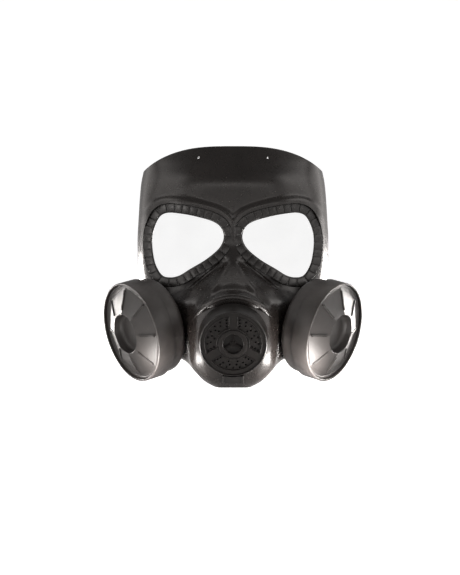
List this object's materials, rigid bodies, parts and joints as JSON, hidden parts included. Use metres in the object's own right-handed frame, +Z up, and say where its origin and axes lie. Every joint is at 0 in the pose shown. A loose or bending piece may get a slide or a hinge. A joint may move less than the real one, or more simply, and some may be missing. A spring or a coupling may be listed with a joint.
{
  "type": "gas mask style costume mask",
  "caption": "Black costume mask in the style of a gas mask, with clear eye windows in ribbed rims, a round vented valve on the muzzle and filter cans on the cheeks",
  "frame": {"origin": "middle of the outline on the surface that the chin stands on", "axes": "X across the face, +Y toward the wearer's head, +Z up; the face looks toward -Y"},
  "size_m": [0.2412, 0.1272, 0.216],
  "materials": {
    "shell_plastic": "black moulded plastic with a soft satin shine",
    "rim_plastic": "black ribbed plastic, finely grained",
    "clear_sheet": "clear thin plastic sheet with a faint grey cast",
    "can_plastic": "black moulded plastic, semi-gloss on the drum wall",
    "cap_plastic": "black moulded plastic, satin on the facets",
    "valve_plastic": "black moulded plastic, dull in the sunk fields"
  },
  "bodies": {
    "root": {"face_shell": "shell_plastic", "eye_rim_left": "rim_plastic", "lens_left": "clear_sheet", "filter_can_left": "can_plastic", "filter_cap_left": "cap_plastic", "eye_rim_right": "rim_plastic", "lens_right": "clear_sheet", "filter_can_right": "can_plastic", "filter_cap_right": "cap_plastic", "valve_housing": "valve_plastic", "valve_cover": "valve_plastic", "valve_hub": "valve_plastic", "valve_latch": "valve_plastic"}
  },
  "joints": []
}
